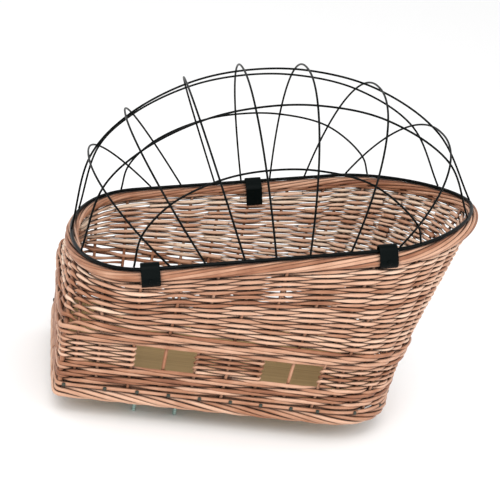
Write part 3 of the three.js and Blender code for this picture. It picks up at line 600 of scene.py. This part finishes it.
# Rim border
# The stakes' willow ends are laid down along the rim and wound into a thick edge, in very long turns that
# rise towards the rear on the hinge side.
RIM_STRANDS, RIM_STRAND_THICK, RIM_STRANDS_PER_TURN, RIM_TONES = 32, 5.0, 9, (0.05, 0.55)
RIM_SENSE, RIM_START, RIM_SWEEP = 1, -150, 350
RIM_CORE_INSET, RIM_CORE_HALF_WIDTH = 3.3, 5.8
rim_out = outward_of(RIM)
rim_out = rim_out[:, :1] * RIM_ALONG + rim_out[:, 1:] * ACROSS
rim_middle = from_rim(np.c_[RIM, BORDER_TOP - RIM_BORDER_HALF])
border = wound_strands(rim_middle, rim_out * (RIM_BORDER_WIDTH - RIM_STRAND_THICK) / 2,
                       np.multiply.outer(RIM_BORDER_HALF - RIM_STRAND_THICK / 2, RIM_UP), RIM_STRAND_THICK,
                       RIM_STRANDS, RIM_STRANDS_PER_TURN, RIM_SENSE, RIM_START, RIM_SWEEP, RIM_TONES)
add_piece(rod_mesh("rim_border_strands", border, ROUND), buff, "basket", "willow_border", "rim_border")
# The rim border's middle is the same willow, painted dark as shade
core = [(rim_middle[::CORE_STEP], rim_out[::CORE_STEP], RIM_BORDER_HALF[::CORE_STEP] - RIM_CORE_INSET,
         RIM_CORE_HALF_WIDTH, CORE_TONE)]
add_piece(rod_mesh("rim_border_core", core, ROUND, closed=True), shaded, "basket", "willow_border")

# Wire grille
# A dome of coated steel wire. Seven hoops fan from end to end of a heavier ring, and four arches and a
# ridge are welded to them from inside.
RING_WIRE, HOOP_WIRE, WIRE_FOOT = 4.6, 2.7, 2.6
DOME_HEIGHT, DOME_LEAN, DOME_POWER = 202.0, 14.5, 2.25
HOOP_FEET, HOOP_FAN, FAN_MIDDLE = (-153, -110, -61.5, -23, 19, 70, 130.5), math.radians(113.2), -12.0
# Arches: how far in from the ring's front and rear they stand, and how high they rise
ARCH_INSET, LOW_ARCH, HIGH_ARCH = 3.4, (72.0, 107.0, 106.0), (11.0, 24.0, 172.0)
RING_STEP, HOOP_POINTS, HOOP_SINK, ARCH_SEARCH = 6, 70, 2, 4000
FINE_ROUND = circle(12)
# Coated steel wire: a near-black skin of plastic whose narrow sheen draws the round of each wire.
coated, tree, shader = new_material("coated_wire")
shader.inputs["Base Color"].default_value = tint("#010404")
shader.inputs["Roughness"].default_value = 0.35
shader.inputs["Specular IOR Level"].default_value = 0.08


def half_width_at(along):
    """Half the rim's width at a place along it: full between the corners, and a superellipse in them."""
    into = np.where(along < 0, (RIM_FRONT_CORNER - RIM_LENGTH / 2 - along) / RIM_FRONT_CORNER,
                    (along - RIM_LENGTH / 2 + RIM_REAR_CORNER) / RIM_REAR_CORNER).clip(0, 1)
    power = np.where(np.asarray(along) < 0, RIM_FRONT_POWER, RIM_REAR_POWER)
    return RIM_HALF_WIDTH * (1 - into ** power) ** (1 / power)


def hoop_point(foot, turn, inset):
    """A point of the hoop with this foot: a superellipse over the rim's width, on a plane that leans with
    the fan, moved inwards by inset, square to the hoop. Axes are along, across and above the rim."""
    half = half_width_at(foot)
    fan = HOOP_FAN * (foot - FAN_MIDDLE) / (RIM_LENGTH / 2)
    crown = RIM_LENGTH / 2 * np.sin(fan) - DOME_LEAN * np.cos(fan)
    lean = np.array([crown - foot, 0, DOME_HEIGHT * np.cos(fan) - WIRE_FOOT])
    cosine, sine = np.cos(turn), np.sin(turn).clip(0)
    across = np.sign(cosine) * np.abs(cosine) ** (2 / DOME_POWER)
    up = sine ** (2 / DOME_POWER)
    side = np.sign(across) * np.abs(across) ** (DOME_POWER - 1) / half
    inward = np.multiply.outer(side, ACROSS)
    inward = inward - np.multiply.outer(up ** (DOME_POWER - 1), lean) / (lean @ lean)
    inward = inward / np.linalg.norm(inward, axis=-1, keepdims=True)
    return (np.array([foot, 0, WIRE_FOOT]) - np.multiply.outer(across * half, ACROSS)
            + np.multiply.outer(up, lean) + inward * inset)


def curve(spots, steps=14):
    """A smooth path through these points: three rounds of blending between neighbours, with knots spaced by
    the square root of the distance."""
    spots = np.concatenate([2 * spots[:1] - spots[1:2], spots, 2 * spots[-1:] - spots[-2:-1]])
    knot = np.r_[0, np.cumsum(np.sqrt(np.linalg.norm(np.diff(spots, axis=0), axis=1)))]
    path = []
    for i in range(1, len(spots) - 2):
        t = np.linspace(knot[i], knot[i + 1], steps, endpoint=i == len(spots) - 3)[:, None]
        a = [(spots[i + j] * (knot[i + j + 1] - t) + spots[i + j + 1] * (t - knot[i + j]))
             / (knot[i + j + 1] - knot[i + j]) for j in (-1, 0, 1)]
        b = [(a[j] * (knot[i + j + 1] - t) + a[j + 1] * (t - knot[i + j - 1]))
             / (knot[i + j + 1] - knot[i + j - 1]) for j in (0, 1)]
        path.append((b[0] * (knot[i + 1] - t) + b[1] * (t - knot[i])) / (knot[i + 1] - knot[i]))
    return np.concatenate(path)


ring_path = from_rim(np.c_[RIM, np.zeros(len(RIM))][::RING_STEP])
ring = [(ring_path, RIM_UP, RING_WIRE / 2, RING_WIRE / 2, NO_TONE)]
add_piece(rod_mesh("ring_wire", ring, FINE_ROUND, closed=True), coated, "grille", "coated_wire",
          "grille_ring")
hoops = []
for foot in HOOP_FEET:
    path = from_rim(hoop_point(foot, np.linspace(0, np.pi, HOOP_POINTS), 0))
    path = np.concatenate([path[:1] - RIM_UP * HOOP_SINK, path, path[-1:] - RIM_UP * HOOP_SINK])
    hoops.append((path, RIM_ALONG, HOOP_WIRE / 2, HOOP_WIRE / 2, NO_TONE))
add_piece(rod_mesh("hoop_wires", hoops, FINE_ROUND), coated, "grille", "coated_wire",
          *(f"grille_hoop_{i + 1}" for i in range(len(HOOP_FEET))))
# Seen from the side an arch is half an ellipse, and it meets each hoop where that leaves the ellipse
paths = []
for side in (1, -1):
    for front, rear, rise in (LOW_ARCH, HIGH_ARCH):
        begin, end = front - RIM_LENGTH / 2, RIM_LENGTH / 2 - rear
        spots = []
        for foot in HOOP_FEET:
            spot = hoop_point(foot, np.linspace(0, np.pi / 2, ARCH_SEARCH), ARCH_INSET)
            along = (spot[:, 0] - (begin + end) / 2) / ((end - begin) / 2)
            spots.append(spot[np.argmin(along ** 2 + (spot[:, 2] / rise) ** 2 < 1)])
        feet = [np.array([x, -half_width_at(np.array(x)), WIRE_FOOT]) for x in (begin, end)]
        paths.append(curve(np.array([feet[0], *spots, feet[1]]) * (1, side, 1)))
ridge = [hoop_point(foot, np.array(np.pi / 2), ARCH_INSET) for foot in HOOP_FEET]
feet = [np.array([x, 0, WIRE_FOOT]) for x in (-RIM_LENGTH / 2, RIM_LENGTH / 2)]
paths.append(curve(np.array([feet[0], *ridge, feet[1]])))
arches = [(from_rim(path), ACROSS, HOOP_WIRE / 2, HOOP_WIRE / 2, NO_TONE) for path in paths]
add_piece(rod_mesh("arch_wires", arches, FINE_ROUND), coated, "grille", "coated_wire",
          "grille_arch_near_low", "grille_arch_near_high", "grille_arch_far_low", "grille_arch_far_high",
          "grille_arch_ridge")

# Straps
# Two loops of soft black strap round the near border and the ring, each closed with a stud, are the
# hinge. A third on the far side goes over the ring, with its tail hanging inside.
STRAP_WIDTH, STRAP_THICK, STRAP_FIT, STRAP_SLACK, LOOP_POINTS = 23.0, 2.0, 0.9, 4.0, 72
STRAP_GRAIN, STRAP_EDGE_POWER, STRAP_FACE_POWER = 3.0, 0.5, 0.16
RIM_BORDER_MIDDLE = BORDER_TOP - BORDER_HEIGHT / 2
HINGE_STRAPS = {"front": 91.0 - RIM_LENGTH / 2, "rear": RIM_LENGTH / 2 - 152.5}
# The closing strap's gaps from the border and the ring, and the angles at which it passes them
CLOSURE_ALONG, SHOULDER_GAP, WRAP_GAP, HUG_GAP = -6.0, 4.0, 1.9, 2.8
SHOULDER_ANGLES, WRAP_ANGLES, HUG_ANGLES = (165, 135, 112.5), (120, 75, 30), (45, 15, -15)
TAIL_LENGTH, TAIL_START, TAIL_DROP, TAIL_POINTS = 23.0, 2.0, 1.3, 5
# Black strap: a fine leathery grain and a weak sheen keep it soft beside the wire.
black, tree, shader = new_material("black_strap")
place = add_node(tree, "ShaderNodeTexCoord", {})
grain = add_node(tree, "ShaderNodeTexNoise", {
    "Vector": place.outputs["Object"], "Scale": per_metre(STRAP_GRAIN), "Detail": 2})
bump = add_node(tree, "ShaderNodeBump", {
    "Height": grain.outputs[0], "Strength": 0.35, "Distance": 0.5 * MM})
tree.links.new(bump.outputs[0], shader.inputs["Normal"])
shader.inputs["Base Color"].default_value = tint("#010606")
shader.inputs["Roughness"].default_value = 0.5
shader.inputs["Specular IOR Level"].default_value = 0.06
FLAT = np.sign(circle(20)) * np.abs(circle(20)) ** (STRAP_EDGE_POWER, STRAP_FACE_POWER)


def strap_path(flat, along, side):
    """Points given outwards and upwards from the ring's wire at a place along it, in the basket's axes."""
    width = half_width_at(np.array(along))
    return from_rim(np.stack([np.full(len(flat), along), side * (width + flat[:, 0]), flat[:, 1]], 1))


# A loop is, in each direction, the further of an oval round the border and a circle round the ring
level_out = circle(120)
oval = np.array([RIM_BORDER_WIDTH, BORDER_HEIGHT]) / 2 + STRAP_FIT + STRAP_THICK / 2
round_ring = RING_WIRE / 2 + STRAP_SLACK + STRAP_THICK / 2
reach = np.hypot(oval[0] * level_out[:, 0], oval[1] * level_out[:, 1])
on_oval = oval ** 2 * level_out / reach[:, None] + (0, RIM_BORDER_MIDDLE)
border_leads = reach + RIM_BORDER_MIDDLE * level_out[:, 1] > round_ring
hull = np.where(border_leads[:, None], on_oval, round_ring * level_out)
run = np.r_[0, np.cumsum(np.linalg.norm(np.diff(np.r_[hull, hull[:1]], axis=0), axis=1))]
even = np.linspace(0, run[-1], LOOP_POINTS, endpoint=False)
loop = np.stack([np.interp(even, run, np.append(hull[:, i], hull[0, i])) for i in (0, 1)], 1)
for end, along in HINGE_STRAPS.items():
    strap = [(strap_path(loop, along, -1), RIM_ALONG, STRAP_THICK / 2, STRAP_WIDTH / 2, NO_TONE)]
    mesh = rod_mesh(f"strap_{end}", strap, FLAT, closed=True)
    add_piece(mesh, black, "basket", "strap", f"hinge_strap_{end}")
    dress(f"strap_stud_{end}", black)


def beside_border(gap, angles):
    """Points outside the border's ellipse, widened by a gap, at these angles in degrees."""
    turn = np.radians(angles)
    return np.stack([(RIM_BORDER_WIDTH / 2 + gap) * np.cos(turn),
                     RIM_BORDER_MIDDLE + (BORDER_HEIGHT / 2 + gap) * np.sin(turn)], 1)


shoulder = beside_border(SHOULDER_GAP, SHOULDER_ANGLES)
turn = np.radians(WRAP_ANGLES)
wrap = (RING_WIRE / 2 + WRAP_GAP) * np.stack([np.cos(turn), np.sin(turn)], 1)
hug = beside_border(HUG_GAP, HUG_ANGLES)
loose = np.array([[hug[-1, 0], RIM_BORDER_MIDDLE - BORDER_HEIGHT / 2]])
drop = TAIL_DROP + np.linspace(TAIL_LENGTH, TAIL_START, TAIL_POINTS)
tail = shoulder[0] - np.multiply.outer(drop, (0, 1))
flat = curve(np.concatenate([tail, shoulder, wrap, hug, loose]), steps=6)
strap = [(strap_path(flat, CLOSURE_ALONG, 1), RIM_ALONG, STRAP_THICK / 2, STRAP_WIDTH / 2, NO_TONE)]
closure = bpy.data.objects.new("closure_strap_soft", rod_mesh("closure_strap_soft", strap, FLAT))
bpy.context.scene.collection.objects.link(closure)
closure.data.materials.append(black)
# The tail bends off inwards and down, which leaves out the end that hangs outside
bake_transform(closure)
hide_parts("closure_strap", "closure_tail")

# Rack clamp
# Bolts, washers, strips and wing nuts of zinc-plated steel hold the basket to the rack. Their solids are
# right as they are, so they only get their metal.
ZINC_CLOUD, THREAD_PITCH = 6.0, 3.2
# A wave node draws this many waves to a unit of its scale
WAVES_TO_UNIT = 20 / (2 * math.pi)
# Zinc plate: a pale, slightly blue-green metal. The thread is drawn four times too coarse, so as to show.
zinc, tree, shader = new_material("zinc_plate")
place = add_node(tree, "ShaderNodeTexCoord", {})
cloud = add_node(tree, "ShaderNodeTexNoise", {
    "Vector": place.outputs["Object"], "Scale": per_metre(ZINC_CLOUD)})
plate = add_node(tree, "ShaderNodeMix", {
    MIX_SHARE: cloud.outputs[0], MIX_FROM: tint("#86A69F"), MIX_TO: tint("#B4CCC6")}, data_type="RGBA")
tree.links.new(plate.outputs[MIX_RESULT], shader.inputs["Base Color"])
shader.inputs["Metallic"].default_value = 0.7
shader.inputs["Roughness"].default_value = 0.4
threaded = zinc.copy()
threaded.name = "zinc_thread"
tree = threaded.node_tree
place = add_node(tree, "ShaderNodeTexCoord", {})
thread = add_node(tree, "ShaderNodeTexWave", {
    "Vector": place.outputs["Object"], "Scale": per_metre(THREAD_PITCH) / WAVES_TO_UNIT},
    wave_type="BANDS", bands_direction="Z")
bump = add_node(tree, "ShaderNodeBump", {
    "Height": thread.outputs[0], "Strength": 0.8, "Distance": 0.5 * MM})
tree.links.new(bump.outputs[0], tree.nodes["Principled BSDF"].inputs["Normal"])
for name in frame["nodes"]:
    if name.startswith(("clamp_", "bolt_", "wing_")):
        dress(name, threaded if name.startswith("clamp_bolt") else zinc)

# Floor and light
# A plain white floor just under the bolts, a white sky and two broad soft lamps, as in a studio. Sizes
# are in metres here.
FLOOR_HALF, FLOOR_GAP = 12.0, 0.0003
LAMP_AIM = (0, 0, 0.15)
LAMPS = {"key": ((-0.8, -2.3, 2.2), 1.6, 53.0), "fill": ((2.2, -1.4, 1.2), 1.8, 16.0)}
# White studio paper: dull, so that it shows the shadow and no sheen.
white, tree, shader = new_material("white_floor")
shader.inputs["Base Color"].default_value = tint("#FAFAFA")
shader.inputs["Roughness"].default_value = 0.9
shader.inputs["Specular IOR Level"].default_value = 0.1
mesh = bpy.data.meshes.new("floor")
corner = np.array([(-1, -1), (1, -1), (1, 1), (-1, 1)]) * FLOOR_HALF
mesh.from_pydata(np.c_[corner, np.full(4, solid_bounds[0][2] - FLOOR_GAP)], [], [(0, 1, 2, 3)])
mesh.materials.append(white)
floor = bpy.data.objects.new("floor", mesh)
bpy.context.scene.collection.objects.link(floor)
world = bpy.data.worlds.new("studio")
bpy.context.scene.world = world
world.use_nodes = True
sky = world.node_tree.nodes["Background"]
sky.inputs["Color"].default_value = tint("#FFFFFF")
sky.inputs["Strength"].default_value = 1.0
for name, (spot, size, power) in LAMPS.items():
    lamp = bpy.data.lights.new(name, "AREA")
    lamp.size, lamp.energy = size, power
    holder = bpy.data.objects.new(name, lamp)
    bpy.context.scene.collection.objects.link(holder)
    away = np.array(spot) - LAMP_AIM
    holder.location = spot
    holder.rotation_euler = (math.acos(away[2] / np.linalg.norm(away)), 0, math.atan2(away[0], -away[1]))

# Camera
# It stands above and to the front of the hinge side, as the photograph was taken, and is rolled, so that
# the basket leans back on its rear.
LENS, SENSOR, VIEW_END = 91.5, 36.0, 100.0
CAMERA_PLACE, CAMERA_TURN = np.array([-325.2, -1574.1, 698.8]), (71.116, -10.791, -8.351)
camera = bpy.data.cameras.new("camera")
camera.lens, camera.sensor_width, camera.clip_end = LENS, SENSOR, VIEW_END
holder = bpy.data.objects.new("camera", camera)
bpy.context.scene.collection.objects.link(holder)
holder.location = CAMERA_PLACE * MM
holder.rotation_euler = np.radians(CAMERA_TURN)
bpy.context.scene.camera = holder
bpy.context.scene.view_settings.view_transform = "Standard"
